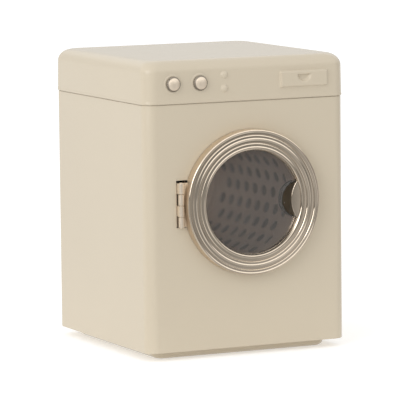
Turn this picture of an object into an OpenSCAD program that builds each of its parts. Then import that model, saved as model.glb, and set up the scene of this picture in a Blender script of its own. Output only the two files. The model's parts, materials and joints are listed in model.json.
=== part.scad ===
// Toy washing machine in painted tinplate, with a hinged round door over a perforated drum.
// Millimetres. The origin is on the floor under the middle of the cabinet.
// +X is to the right seen from the front, +Y is to the back and +Z is up.

/* [Cabinet] */
// Width of the cabinet
body_w = 95; // [90:1:120]
// Depth of the cabinet
body_d = 96; // [92:1:120]
// Radius of the cabinet's upright corners
corner_r = 5; // [4:0.5:8]
// Thickness of the tinplate
sheet = 0.45; // [0.3:0.05:0.6]
// Height of the cabinet's lower edge above the floor
skirt_z = 3.6; // [3:0.1:6]
// Height of the seam between the cabinet and its lid
seam_z = 109.9; // [106:0.5:114]
// How far the cabinet reaches up inside the lid
lid_overlap = 2.6; // [2:0.1:3]

/* [Lid] */
// Overall height of the machine
total_h = 128.3; // [126:0.5:134]
// Left edge of the embossed drawer front
drawer_x = 16.1; // [12:0.5:18]
// Width of the embossed drawer front
drawer_w = 22.2; // [18:0.2:24]
// Height of the embossed drawer front
drawer_h = 7.3; // [5:0.1:8]
// How far the drawer front stands out
drawer_rise = 0.8; // [0.5:0.1:1.2]
// Diameter of the two embossed lamp bumps
bump_d = 2.8; // [2.4:0.1:3.6]

/* [Dials] */
// Diameter of a dial
dial_d = 6.6; // [5:0.1:7]
// How far a dial stands out of the lid
dial_rise = 2.1; // [1.5:0.1:3]
// Across-lid places of the two dials
dial_x = [-34.9, -22.2];
// Height of the dials' centres
dial_z = 118.4; // [117:0.1:119.5]
// Grip flutes round a dial
dial_flutes = 24; // [12:1:30]

/* [Door] */
// Across-cabinet place of the door's centre
door_x = 1; // [0.75:0.25:1.25]
// Height of the door's centre
door_z = 66.4; // [60:0.2:68]
// Outer radius of the door ring
ring_r = 31.3; // [31:0.1:31.5]
// Radius of the opening in the door ring
ring_bore = 22.4; // [22.2:0.1:22.8]
// How far the ring's outer edge stands in front of the cabinet
ring_front = 5.2; // [4.8:0.1:6]
// Thickness of the window
window_t = 1.05; // [0.8:0.05:1.2]
// Depth of the finger cup behind the window's face
cup_depth = 5.2; // [4:0.2:6]

/* [Hinge] */
// Distance of the hinge pin in front of the cabinet
hinge_out = 1.6; // [1.5:0.1:2]
// Across-cabinet place of the hinge pin
hinge_x = -32.1; // [-33:0.1:-32.1]
// Outer radius of the hinge knuckles
knuckle_r = 1.25; // [1.2:0.05:1.3]

/* [Drum] */
// Outer radius of the drum
drum_r = 28; // [27.5:0.1:29]
// Depth of the drum's mouth behind the cabinet's front
drum_mouth = 12; // [11:0.5:13]
// Length of the drum
drum_len = 78; // [60:1:78]
// Diameter of the drum's holes
hole_d = 5.1; // [4:0.1:5.4]
// Rows of holes round the drum
hole_rows = 24; // [16:2:24]
// Spacing of the holes along a row
hole_pitch = 8.75; // [8:0.25:10]

/* [Base] */
// How far the base stands inside the cabinet's sides
base_inset = 6.3; // [5:0.1:10]
// Radius of the base's lower edge
base_edge_r = 2.6; // [1:0.1:3]

/* [Hidden] */
$fn = 96;

// Small overcut that lets a cutter pass right through a wall
cut = 1;

front_y = -body_d / 2;
back_y = body_d / 2;
wrap_top = seam_z + lid_overlap;

// Opening in the front panel, and the neck that lines it
neck_bore = 25.6;
neck_wall = 0.5;
neck_len = 14;
neck_flange_r = 28.6;

// Slot in the front panel for the hinge, from the sides of the knuckles
slot_left = hinge_x - 1.5;
slot_right = hinge_x + 3.8;
slot_low = 57;
slot_high = 77.2;

// The four knuckles from the lowest to the highest, with a gap between neighbours
knuckle_z = [57.3, 61.95, 66.7, 71.6, 76.4];
knuckle_gap = 0.2;
leaf_t = 0.4;
pin_r = 0.55;

// Levels in front of the front panel that the door's pieces share
leaf_back_h = hinge_out - knuckle_r;
plate_h = leaf_back_h + leaf_t;
plate_t = 0.4;
window_h = plate_h + plate_t;
window_front_h = window_h + window_t;
channel_wall = 0.8;
face_h = ring_front - 0.3;
face_t = 0.8;

// Radii of the door's inner pieces
plate_bore = 22.1;
plate_r = ring_r - channel_wall - 0.1;
window_r = 24.6;
plug_r = 25;
plug_wall = 0.8;
plug_depth = 1.4;

// Finger cup: a round pocket cut off by the bore of the back ring
cup_x = 24.2;
cup_r = 8.8;
cup_wall = 0.6;

// Grip plate: a segment between the ring's bore and a wider arc
grip_x = 31.1;
grip_r = 13.1;
grip_h = 3.8;
grip_t = 0.7;

// Screws of the door's back ring, and the rivets of its hinge leaf
screw_pcd_r = 27.4;
screw_angles = [45, 135, 225, 315];
screw_r = 0.7;
screw_head_r = 1.4;
rivet_x = -27.35;
rivet_z = [61, 71.8];
rivet_r = 0.6;
magnet_x = 27.6;
magnet_r = 2.6;
magnet_t = 2;

// Drum and what carries it
drum_wall = 0.5;
drum_front_y = front_y + drum_mouth;
drum_back_y = drum_front_y + drum_len;
hole_row_angle = 360 / hole_rows;
hole_first_y = front_y + 19.2;
hole_last_y = drum_back_y - 7;
axle_r = 1.55;
axle_gap = 0.05;
bushing_r = 3;
bracket_t = 0.8;
bracket_y = drum_back_y + 2.6;
bracket_w = 24;
bracket_span = 36;
bracket_foot = 10;

// Dials
spindle_r = 1;
spindle_gap = 0.08;
spindle_len = 3.4;
collar_d = 8;
collar_rise = 0.25;
lid_front_y = front_y - sheet;
bump_x = -10.5;
bump_z = [121.3, 115.5];
bump_rise = 0.55;

cream = [0.80, 0.755, 0.67];
nickel = [0.72, 0.67, 0.59];
steel = [0.62, 0.61, 0.6];
drum_grey = [0.5, 0.465, 0.44];
smoke = [0.26, 0.23, 0.19, 0.7];
clear = [0.55, 0.55, 0.56, 0.35];
nylon = [0.86, 0.85, 0.82];

// A rectangle with round corners, about the origin
module rounded_rect(w, d, r) {
    square([w - 2 * r, d], center = true);
    square([w, d - 2 * r], center = true);
    for (sx = [-1, 1], sy = [-1, 1])
        translate([sx * (w / 2 - r), sy * (d / 2 - r)]) circle(r);
}

// Carries a flat section round a rounded rectangle. The section's x runs outwards
// from the corners' centre lines, and its y is the height.
module swept_wall(w, d, r) {
    cx = w / 2 - r;
    cy = d / 2 - r;
    for (k = [0:3]) {
        sx = k == 0 || k == 3 ? 1 : -1;
        sy = k < 2 ? 1 : -1;
        out = k % 2 == 0 ? cx : cy;
        run = k % 2 == 0 ? cy : cx;
        translate([sx * cx, sy * cy, 0]) rotate([0, 0, 90 * k]) rotate_extrude(angle = 90) children();
        rotate([0, 0, 90 * k]) translate([out, run, 0]) rotate([90, 0, 0])
            linear_extrude(2 * run) children();
    }
}

// Places what is drawn about +Z on the door's axis, with +Z pointing forward from the front panel
module on_door_axis() {
    translate([door_x, front_y, door_z]) rotate([90, 0, 0]) children();
}

// The same axis for the drum, with +Z pointing backward from a depth y
module on_drum_axis(y) {
    translate([door_x, y, door_z]) rotate([-90, 0, 0]) children();
}

// A ring of rectangular section from one radius and height to another
module tube(inner, outer, low, high) {
    rotate_extrude() translate([inner, low]) square([outer - inner, high - low]);
}

// Outline of a dished shell's section: a wall up to a round shoulder of radius r at height top
module shoulder_section(r, low, top) {
    translate([0, low]) square([r, top - r - low]);
    intersection() {
        translate([0, top - r]) circle(r);
        translate([0, top - r]) square([r, r]);
    }
}

// The same the other way up: a wall down to a round lower edge at height low
module foot_section(r, edge, low, top) {
    translate([0, low + edge]) square([r, top - low - edge]);
    translate([0, low]) square([r - edge, edge]);
    translate([r - edge, low + edge]) intersection() {
        circle(edge);
        translate([0, -edge]) square([edge, edge]);
    }
}

// The wrap's folded joint on the inside of the back panel
module back_seam() {
    translate([-31, back_y - sheet - 0.9, skirt_z + 4.6]) cube([5, 0.9, wrap_top - skirt_z - 9]);
}

module cabinet_wrap() {
    color(cream) difference() {
        union() {
            translate([0, 0, skirt_z]) linear_extrude(wrap_top - skirt_z) difference() {
                rounded_rect(body_w, body_d, corner_r);
                rounded_rect(body_w - 2 * sheet, body_d - 2 * sheet, corner_r - sheet);
            }
            back_seam();
        }
        on_door_axis() translate([0, 0, -sheet - cut]) cylinder(r = neck_bore, h = sheet + 2 * cut);
        translate([slot_left, front_y - cut, slot_low])
            cube([slot_right - slot_left, sheet + 2 * cut, slot_high - slot_low]);
        // The folded joint leaves a fine groove on the outside of the back panel
        translate([-26.2, back_y - 0.2, skirt_z - cut]) cube([0.4, 1, wrap_top - skirt_z + 2 * cut]);
    }
}

// A slab of the drawer front's outline, drawn in towards its face, in front of the lid's face
module drawer_block(grow, rise) {
    cx = drawer_x + drawer_w / 2;
    cz = 118.1;
    bevel = 0.5;
    hull() for (step = [[0, 0], [0.6, 0], [1, bevel]])
        translate([cx, lid_front_y + 0.1 - step[0] * (rise + 0.1), cz]) rotate([90, 0, 0])
            linear_extrude(0.01) square([drawer_w + 2 * (grow - step[1]), drawer_h + 2 * (grow - step[1])],
                center = true);
}

// The finger scoop in the drawer front: flat above, rounded below
module scoop_block(grow, depth) {
    cx = drawer_x + 11.2;
    hull() for (step = [0, 1])
        translate([cx, lid_front_y - drawer_rise - 0.3 + step * (depth + 0.3), 120.1])
            rotate([90, 0, 0]) linear_extrude(0.01) hull() {
                translate([-3.3 + 0.5 * step - grow, -0.6]) square([6.6 - step + 2 * grow, 0.7 + grow]);
                translate([0, -1.6]) circle(1.7 - 0.4 * step + grow, $fn = 24);
            }
}

// A round-topped bump standing on the lid's face
module lamp_bump(d, rise) {
    ball_r = (pow(d / 2, 2) + pow(rise, 2)) / (2 * rise);
    intersection() {
        translate([0, 0, rise - ball_r]) sphere(ball_r, $fn = 48);
        translate([0, 0, -sheet / 2]) cylinder(d = d + 1, h = rise + sheet);
    }
}

module lid() {
    r_in = corner_r - 0.1;
    r_out = r_in + sheet;
    w_out = body_w + 2 * sheet;
    d_out = body_d + 2 * sheet;
    color(cream) difference() {
        union() {
            swept_wall(w_out, d_out, r_out) difference() {
                shoulder_section(r_out, seam_z, total_h);
                shoulder_section(r_in, seam_z - cut, total_h - sheet);
            }
            translate([r_out - w_out / 2, r_out - d_out / 2, total_h - sheet])
                cube([w_out - 2 * r_out, d_out - 2 * r_out, sheet]);
            difference() {
                union() {
                    drawer_block(0, drawer_rise);
                    translate([drawer_x + 0.4, lid_front_y, 114.9])
                        cube([drawer_w - 0.8, sheet, drawer_h - 0.9]);
                }
                scoop_block(0, drawer_rise - 0.1);
            }
            for (z = bump_z) translate([bump_x, lid_front_y, z]) rotate([90, 0, 0])
                lamp_bump(bump_d, bump_rise);
            for (x = dial_x) translate([x, lid_front_y, dial_z]) rotate([90, 0, 0])
                cylinder(d = collar_d, h = collar_rise);
        }
        // The sheet is hollow behind what is embossed
        difference() {
            translate([drawer_x + 1, lid_front_y - drawer_rise + sheet, 115.4])
                cube([drawer_w - 2, 2, drawer_h - 2]);
            scoop_block(sheet, drawer_rise + 0.4);
        }
        for (z = bump_z) translate([bump_x, lid_front_y + sheet, z]) rotate([90, 0, 0])
            lamp_bump(bump_d - 0.4, bump_rise - 0.05);
        for (x = dial_x) translate([x, lid_front_y, dial_z]) rotate([90, 0, 0]) {
            translate([0, 0, -2]) cylinder(r = spindle_r + spindle_gap, h = 3);
            translate([0, 0, -2]) cylinder(d = collar_d - 1, h = 2 - sheet + collar_rise);
        }
    }
}

// A drawn tray: a plinth that stands on the floor, with a flange and a rim inside the cabinet
module base_tray() {
    w = body_w - 2 * base_inset;
    d = body_d - 2 * base_inset;
    r = 5;
    inner_w = body_w - 2 * sheet;
    inner_d = body_d - 2 * sheet;
    inner_r = corner_r - sheet;
    color(cream) union() {
        swept_wall(w, d, r) difference() {
            foot_section(r, base_edge_r, 0, skirt_z + sheet);
            foot_section(r - sheet, base_edge_r - sheet, sheet, skirt_z + sheet + cut);
        }
        translate([r - w / 2, r - d / 2, 0]) cube([w - 2 * r, d - 2 * r, sheet]);
        translate([0, 0, skirt_z]) linear_extrude(sheet) difference() {
            rounded_rect(inner_w, inner_d, inner_r);
            rounded_rect(w - 2 * sheet, d - 2 * sheet, r - sheet);
        }
        translate([0, 0, skirt_z]) linear_extrude(4.4) difference() {
            rounded_rect(inner_w, inner_d, inner_r);
            rounded_rect(inner_w - 2 * sheet, inner_d - 2 * sheet, inner_r - sheet);
        }
    }
}

// The drawn neck that lines the opening and reaches into the drum's mouth
module neck_ring() {
    color(drum_grey) on_door_axis() union() {
        tube(neck_bore, neck_flange_r, -sheet - 0.5, -sheet);
        tube(neck_bore, neck_bore + neck_wall, -sheet - neck_len, -sheet);
    }
}

// A hat-section strap across the inside of the back panel
module drum_bracket() {
    web = bracket_span / 2;
    foot_y = back_y - sheet;
    color(steel) translate([door_x, 0, door_z]) difference() {
        translate([-bracket_w / 2, 0, 0]) rotate([90, 0, 90]) linear_extrude(bracket_w) {
            translate([bracket_y, -web]) square([bracket_t, 2 * web]);
            for (s = [-1, 1]) {
                translate([bracket_y, s > 0 ? web - bracket_t : -web])
                    square([foot_y - bracket_y, bracket_t]);
                translate([foot_y - bracket_t, s > 0 ? web - bracket_t : -web - bracket_foot])
                    square([bracket_t, bracket_foot + bracket_t]);
            }
        }
        rotate([-90, 0, 0]) translate([0, 0, bracket_y - cut])
            cylinder(r = axle_r + 0.02, h = bracket_t + 2 * cut);
        for (sx = [-1, 1]) rotate([-90, 0, 0])
            translate([sx * 7.5, 0, bracket_y - cut]) cylinder(r = 2.2, h = bracket_t + 2 * cut);
    }
}

// Round-headed pin that the drum turns on, with its head inside the drum
module drum_axle() {
    head_y = drum_back_y - 2.5;
    head_r = 3;
    head_rise = 1.4;
    ball_r = (pow(head_r, 2) + pow(head_rise, 2)) / (2 * head_rise);
    color(steel) union() {
        intersection() {
            on_drum_axis(head_y - head_rise + ball_r) sphere(ball_r);
            on_drum_axis(head_y - head_rise - cut) cylinder(r = head_r, h = head_rise + cut);
        }
        on_drum_axis(head_y) cylinder(r = axle_r, h = bracket_y + bracket_t + 1.6 - head_y);
    }
}

module axle_washer() {
    color(steel) on_drum_axis(drum_back_y - 2.5) difference() {
        cylinder(r = 3.6, h = 0.5);
        translate([0, 0, -cut]) cylinder(r = axle_r + 0.02, h = 3);
    }
}

// Spring nut pushed over the axle's end behind the bracket
module axle_push_nut() {
    color(steel) on_drum_axis(bracket_y + bracket_t) difference() {
        union() {
            cylinder(r = 3.4, h = 0.5);
            cylinder(r1 = 2.6, r2 = 2.1, h = 1);
        }
        translate([0, 0, -cut]) cylinder(r = axle_r, h = 4);
    }
}

// The perforated drum: alternate rows of holes are half a pitch apart
module drum_shell() {
    color(drum_grey) difference() {
        on_drum_axis(drum_front_y) difference() {
            cylinder(r = drum_r, h = drum_len);
            translate([0, 0, -cut]) cylinder(r = drum_r - drum_wall, h = drum_len + 2 * cut);
        }
        for (row = [0:hole_rows - 1]) {
            row_first_y = hole_first_y + (row % 2 == 0 ? hole_pitch / 2 : 0);
            translate([door_x, 0, door_z]) rotate([0, 1.7 - row * hole_row_angle, 0])
                for (y = [row_first_y:hole_pitch:hole_last_y]) translate([drum_r - drum_wall - cut, y, 0])
                    rotate([0, 90, 0]) cylinder(d = hole_d, h = drum_wall + 2 * cut);
        }
    }
}

// The drum's back: a pressed cup with a raised ring and a seat for the bushing
module drum_back() {
    r = drum_r - drum_wall;
    color(drum_grey) on_drum_axis(drum_back_y) difference() {
        rotate_extrude() {
            translate([0, -0.5]) square([r, 0.5]);
            translate([r - 0.5, -3.5]) square([0.5, 3.5]);
            translate([15, -1.3]) square([6, 1.3]);
        }
        translate([0, 0, -0.7]) difference() {
            cylinder(r = 20.5, h = 2);
            translate([0, 0, -cut]) cylinder(r = 15.5, h = 4);
        }
        translate([0, 0, -5]) cylinder(r = bushing_r, h = 10);
    }
}

// Rolled rim round the drum's mouth
module drum_front_rim() {
    color(drum_grey) on_drum_axis(drum_front_y) rotate_extrude() difference() {
        translate([drum_r - 0.55, -0.1]) circle(1, $fn = 32);
        translate([drum_r - drum_wall, 0]) square([drum_wall, 2]);
    }
}

// Flanged bush in the drum's back that runs on the axle
module drum_bushing() {
    color(nylon) on_drum_axis(drum_back_y) difference() {
        union() {
            translate([0, 0, -1.95]) cylinder(r = 5, h = 1.45);
            translate([0, 0, -0.5]) cylinder(r = bushing_r, h = 2.6);
        }
        translate([0, 0, -4]) cylinder(r = axle_r + axle_gap, h = 10);
    }
}

// Section of the pressed door ring: a channel open to the back, with beads and grooves on its face
module ring_section() {
    edge_r = 0.6;
    difference() {
        union() {
            translate([ring_r - channel_wall, 0.3]) square([channel_wall, ring_front - edge_r - 0.3]);
            translate([ring_bore + 0.4, face_h - face_t])
                square([ring_r - edge_r - ring_bore - 0.4, face_t]);
            translate([ring_bore, window_front_h]) square([channel_wall, face_h - 0.6 - window_front_h]);
            translate([ring_bore + 0.75, face_h - 0.45]) circle(0.75, $fn = 48);
            for (r = [25.5, 26.85, 29.15]) translate([r, face_h - 0.1]) circle(0.4, $fn = 32);
            translate([ring_r - edge_r, ring_front - edge_r]) circle(edge_r, $fn = 48);
        }
        for (r = [26.17, 29.8]) polygon([[r - 0.28, ring_front + 0.2], [r - 0.1, face_h - 0.5],
            [r + 0.1, face_h - 0.5], [r + 0.28, ring_front + 0.2]]);
        // Shallow coves between the beads
        for (c = [[24.65, 1.9], [28, 2.6]]) translate([c[0], face_h + c[1] - 0.12]) circle(c[1], $fn = 64);
    }
}

module door_ring() {
    color(nickel) difference() {
        on_door_axis() union() {
            rotate_extrude() ring_section();
            for (a = screw_angles) rotate([0, 0, a]) translate([screw_pcd_r, 0, window_h]) difference() {
                cylinder(r = 1.6, h = face_h - 0.4 - window_h);
                translate([0, 0, -cut]) cylinder(r = screw_r + 0.01, h = 2.2 + cut);
            }
        }
        // Notch that the hinge leaf passes through
        translate([door_x - ring_r - cut, front_y - plate_h - 0.05, slot_low])
            cube([4, plate_h + cut, slot_high - slot_low]);
    }
}

// Flat ring that closes the door's back, with a short plug that enters the neck
module door_back_ring() {
    color(nickel) difference() {
        on_door_axis() difference() {
            union() {
                tube(plate_bore, plate_r, plate_h, window_h);
                tube(plug_r - plug_wall, plug_r, -plug_depth, plate_h);
            }
            for (a = screw_angles) rotate([0, 0, a]) translate([screw_pcd_r, 0, plate_h - cut]) {
                cylinder(r = screw_r + 0.01, h = plate_t + 2 * cut);
                cylinder(r = screw_head_r, h = cut + 0.2);
            }
        }
        for (z = rivet_z) translate([rivet_x, front_y, z]) rotate([90, 0, 0]) cylinder(r = rivet_r, h = 4);
    }
}

// Clear disc with a cut-out for the finger cup
module door_window() {
    color(clear) on_door_axis() translate([0, 0, window_h]) difference() {
        cylinder(r = window_r, h = window_t);
        translate([0, 0, -cut]) intersection() {
            translate([cup_x, 0, 0]) cylinder(r = cup_r + 0.05, h = window_t + 2 * cut);
            cylinder(r = plate_bore, h = window_t + 2 * cut);
        }
    }
}

// The cup's outline at a distance inside its outer wall
module cup_outline(inside) {
    intersection() {
        translate([cup_x, 0]) circle(cup_r - inside);
        circle(plate_bore - 0.05 - inside);
    }
}

// Smoked pocket that a finger reaches into behind the grip plate
module finger_cup() {
    color(smoke) on_door_axis() difference() {
        union() {
            translate([0, 0, window_front_h - cup_depth]) linear_extrude(cup_depth) cup_outline(0);
            // Flange that is bonded to the back of the window
            translate([0, 0, plate_h]) linear_extrude(plate_t) intersection() {
                translate([cup_x, 0]) circle(cup_r + 1);
                circle(plate_bore - 0.05);
            }
        }
        translate([0, 0, window_front_h - cup_depth + cup_wall])
            linear_extrude(cup_depth) cup_outline(cup_wall);
    }
}

// Flat segment that bridges the cup and is pulled to open the door
module grip_plate() {
    color(nickel) on_door_axis() translate([0, 0, grip_h]) linear_extrude(grip_t) intersection() {
        translate([grip_x, 0]) circle(grip_r);
        circle(ring_bore);
    }
}

module door_screws() {
    color(steel) on_door_axis() for (a = screw_angles)
        rotate([0, 0, a]) translate([screw_pcd_r, 0, plate_h]) difference() {
            union() {
                cylinder(r = screw_head_r - 0.02, h = 0.2);
                cylinder(r = screw_r, h = 2.3);
            }
            for (turn = [0, 90])
                rotate([0, 0, turn]) translate([-0.9, -0.12, -0.1]) cube([1.8, 0.24, 0.3]);
        }
}

// Disc magnet in the ring's channel, which holds the door against the steel front
module door_magnet() {
    color(steel) on_door_axis() translate([magnet_x, 0, window_h]) cylinder(r = magnet_r, h = magnet_t);
}

// One knuckle of the hinge, from the lowest, 0, to the highest, 3
module knuckle(k, bore) {
    low = knuckle_z[k];
    high = knuckle_z[k + 1] - knuckle_gap;
    translate([hinge_x, front_y - hinge_out, low]) difference() {
        cylinder(r = knuckle_r, h = high - low, $fn = 48);
        translate([0, 0, -cut]) cylinder(r = bore, h = high - low + 2 * cut, $fn = 48);
    }
}

// Leaf behind the front panel, with two straps that pass through the slot to their knuckles
module hinge_leaf_cabinet() {
    inner_y = front_y + sheet;
    strap_x = hinge_x - knuckle_r;
    color(nickel) union() {
        translate([strap_x - 6.6, inner_y, slot_low + 0.3]) cube([6.6 + leaf_t, leaf_t, slot_high - slot_low - 0.8]);
        for (k = [1, 3]) {
            knuckle(k, pin_r + 0.01);
            translate([strap_x, front_y - hinge_out, knuckle_z[k]])
                cube([leaf_t, hinge_out + sheet + leaf_t, knuckle_z[k + 1] - knuckle_gap - knuckle_z[k]]);
        }
    }
}

// Leaf on the back of the door, level with the rear of its two knuckles
module hinge_leaf_door() {
    low_y = front_y - plate_h;
    right_x = door_x - plug_r - 0.4;
    clear_x = hinge_x + knuckle_r + 0.35;
    color(nickel) difference() {
        union() {
            translate([clear_x, low_y, knuckle_z[0]])
                cube([right_x - clear_x, leaf_t, knuckle_z[4] - knuckle_gap - knuckle_z[0]]);
            for (k = [0, 2]) {
                knuckle(k, pin_r + 0.06);
                translate([hinge_x, low_y, knuckle_z[k]])
                    cube([clear_x - hinge_x, leaf_t, knuckle_z[k + 1] - knuckle_gap - knuckle_z[k]]);
            }
        }
        for (z = rivet_z)
            translate([rivet_x, front_y + cut, z]) rotate([90, 0, 0]) cylinder(r = rivet_r, h = 4);
    }
}

// Rivets through the door leaf and the back ring, flush at the back
module hinge_rivets() {
    color(steel) for (z = rivet_z) translate([rivet_x, front_y, z]) rotate([90, 0, 0]) {
        translate([0, 0, leaf_back_h]) cylinder(r = rivet_r, h = window_h + 0.3 - leaf_back_h, $fn = 32);
        translate([0, 0, window_h]) cylinder(r = 1.1, h = 0.5, $fn = 32);
    }
}

module hinge_pin() {
    low = knuckle_z[0] - 0.05;
    high = knuckle_z[4] - knuckle_gap;
    color(nickel) translate([hinge_x, front_y - hinge_out, 0]) {
        translate([0, 0, low - 0.25]) cylinder(r = pin_r, h = high - low + 0.5, $fn = 48);
        translate([0, 0, low - 0.3]) cylinder(r = 0.9, h = 0.3, $fn = 48);
        translate([0, 0, high]) cylinder(r1 = 0.95, r2 = 0.7, h = 0.3, $fn = 48);
    }
}

// A domed dial with a fluted edge and a spindle that passes through the lid
module dial(x, pointer) {
    r = dial_d / 2;
    dome_r = 4.6;
    color(nickel) translate([x, lid_front_y - collar_rise, dial_z]) rotate([90, 0, 0]) difference() {
        union() {
            intersection() {
                translate([0, 0, 0.1]) cylinder(r = r, h = dial_rise - 0.1);
                translate([0, 0, dial_rise - dome_r]) sphere(dome_r);
            }
            translate([0, 0, -spindle_len]) cylinder(r = spindle_r, h = spindle_len + 0.5);
        }
        for (k = [0:dial_flutes - 1]) rotate([0, 0, k * 360 / dial_flutes])
            translate([r + 0.1, 0, -0.2]) cylinder(r = 0.22, h = dial_rise, $fn = 16);
        rotate([0, 0, pointer]) translate([r - 1.1, -0.2, dial_rise - 1.2]) cube([1.6, 0.4, 1]);
    }
}

module dial_left() {
    dial(dial_x[0], 135);
}

module dial_right() {
    dial(dial_x[1], 245);
}

// Spring washer pushed on a dial's spindle behind the lid
module dial_clip(x) {
    color(steel) translate([x, lid_front_y + sheet + 0.1, dial_z]) rotate([-90, 0, 0]) difference() {
        union() {
            cylinder(r = 2.4, h = 0.3, $fn = 48);
            cylinder(r1 = 1.9, r2 = 1.5, h = 0.8, $fn = 48);
        }
        translate([0, 0, -cut]) cylinder(r = spindle_r, h = 3, $fn = 48);
    }
}

module dial_left_clip() {
    dial_clip(dial_x[0]);
}

module dial_right_clip() {
    dial_clip(dial_x[1]);
}

cabinet_wrap();
lid();
base_tray();
neck_ring();
drum_bracket();
drum_axle();
axle_washer();
axle_push_nut();
drum_shell();
drum_back();
drum_front_rim();
drum_bushing();
door_ring();
door_back_ring();
door_window();
finger_cup();
grip_plate();
door_screws();
door_magnet();
hinge_leaf_cabinet();
hinge_leaf_door();
hinge_rivets();
hinge_pin();
dial_left();
dial_left_clip();
dial_right();
dial_right_clip();
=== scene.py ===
"""Looks of the toy washing machine: finished pieces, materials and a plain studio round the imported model."""
import json
import math

import bmesh
import bpy
from bpy.props import FloatProperty, FloatVectorProperty, IntProperty, PointerProperty
from mathutils import Matrix, Vector


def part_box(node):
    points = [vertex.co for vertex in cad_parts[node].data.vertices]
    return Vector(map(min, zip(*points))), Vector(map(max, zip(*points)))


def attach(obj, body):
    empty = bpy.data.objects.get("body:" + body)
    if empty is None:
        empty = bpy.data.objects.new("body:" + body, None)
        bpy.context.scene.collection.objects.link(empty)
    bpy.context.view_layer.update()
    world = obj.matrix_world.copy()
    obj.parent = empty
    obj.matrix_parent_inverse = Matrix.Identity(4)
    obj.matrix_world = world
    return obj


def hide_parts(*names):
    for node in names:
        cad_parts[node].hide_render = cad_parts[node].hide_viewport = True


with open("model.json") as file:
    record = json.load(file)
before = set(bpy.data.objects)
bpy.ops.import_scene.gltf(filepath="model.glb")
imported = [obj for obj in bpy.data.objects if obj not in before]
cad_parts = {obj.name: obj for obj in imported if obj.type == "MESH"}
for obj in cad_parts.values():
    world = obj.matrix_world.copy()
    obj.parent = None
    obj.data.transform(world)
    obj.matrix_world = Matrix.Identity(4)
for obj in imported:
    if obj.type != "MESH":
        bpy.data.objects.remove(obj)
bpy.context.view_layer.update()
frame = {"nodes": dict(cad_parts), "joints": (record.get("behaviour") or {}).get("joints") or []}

bl_info = {
    "name": "Toy Washing Machine",
    "version": (1, 0, 0),
    "blender": (4, 5, 0),
    "location": "View3D > Sidebar > Washer",
    "description": "Builds the painted cabinet, the door, the drum and the dials of a toy washing machine",
    "category": "Object",
}

MM = 0.001


def joint_place(name):
    """Where a joint of the frame sits, in metres."""
    return next(Vector(joint["pos_m"]) for joint in frame["joints"] if joint["name"] == name)


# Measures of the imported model, in metres
WRAP_LOW, WRAP_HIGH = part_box("cabinet_wrap")
LID_LOW, LID_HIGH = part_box("lid")
BASE_LOW, BASE_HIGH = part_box("base_tray")
RING_LOW, RING_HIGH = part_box("door_ring")
DRUM_LOW, DRUM_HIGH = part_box("drum_shell")
PIN_LOW, PIN_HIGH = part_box("hinge_pin")
FRONT_Y = WRAP_LOW.y
DOOR_X = (RING_LOW.x + RING_HIGH.x) / 2
DOOR_Z = (RING_LOW.z + RING_HIGH.z) / 2
DOOR_AXIS = (DOOR_X, FRONT_Y, DOOR_Z)
HINGE = joint_place("door_swing")
DIALS = {side: joint_place("dial_" + side + "_turn") for side in ("left", "right")}
LID_FACE = -LID_HIGH.y

# Small sizes that the finished pieces share with each other, in millimetres
SHEET = 0.45
CORNER = 5.0
NECK_BORE = 25.6
SLOT_LEFT, SLOT_RIGHT, SLOT_LOW, SLOT_HIGH = -33.6, -28.3, 57.0, 77.2
FOLD_LEFT, FOLD_RIGHT = -26.2, -25.8
RING_BORE = 22.4
RING_LIP = 22.2
WINDOW_BACK = 1.18
WINDOW_FRONT = 2.18
PLATE_BACK = 0.75
PLATE_FRONT = 1.15
PLATE_BORE = 22.35
CUP_X = 22.5
CUP_R = 8.0
GRIP_X = 31.1
GRIP_R = 13.1
LEAF = 0.4
LEAF_LOW, LEAF_HIGH = 57.3, 76.2
KNUCKLE_R = 1.25
KNUCKLES = (57.3, 61.95, 66.7, 71.6, 76.4)
KNUCKLE_GAP = 0.2
SCREW_CIRCLE = 27.4
DRUM_R = DRUM_HIGH.x / MM - DOOR_X / MM
DRUM_WALL = 0.5
HOLE_D = 5.1
HOLE_PITCH = 8.75
HOLE_FIRST = -28.8
PLAIN_BACK = 7

# The embossing on the lid's front: middles as (x, z) and sizes, in millimetres
DRAWER, DRAWER_HALF = (27.35, 118.15), (10.8, 2.9)
SCOOP, SCOOP_HALF = (27.4, 120.2), (3.7, 3.8)
LAMPS, LAMP_R, LAMP_RISE = ((-10.5, 121.3), (-10.5, 115.5)), 1.65, 0.9
COLLAR_R, COLLAR_RISE = 4.1, 0.25

# The drum's rows of holes: how many, the turn from one to the next and the turn of the first, in degrees
HOLE_ROWS = 24
ROW_STEP = 360 / HOLE_ROWS
HOLE_TURN = -1.7

# Faces over an area in square metres are shaded flat, edges over an angle in degrees are sharp, and the edges of
# small parts have a bevel in metres. Round sheet metal and plastic has the same number of segments throughout.
FLAT_AREA = 1e-4
SHARP = 32
SEGMENTS = 160
SOFT_EDGE = 0.00005


class CabinetSettings(bpy.types.PropertyGroup):
    """Paint and edges of the sheet-metal cabinet."""

    paint: FloatVectorProperty(name="Paint", description="Colour of the enamel", subtype="COLOR",
                               size=3, min=0, max=1, default=(0.665, 0.580, 0.445))
    gloss: FloatProperty(name="Roughness", description="Roughness of the enamel", default=0.25, min=0.05,
                         max=1, subtype="FACTOR")
    seam_gap: FloatProperty(name="Seam depth", description="Depth of the groove under the lid",
                            default=0.00035, min=0.0001, max=0.001, unit="LENGTH")
    emboss_cell: FloatProperty(name="Emboss cell", description="Cell of the grid that carries the lid's embossing",
                               default=0.00028, min=0.0002, max=0.001, unit="LENGTH")
    drawer_rise: FloatProperty(name="Drawer front", description="How far the drawer front stands out",
                               default=0.0011, min=0.0002, max=0.0012, unit="LENGTH")


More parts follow.
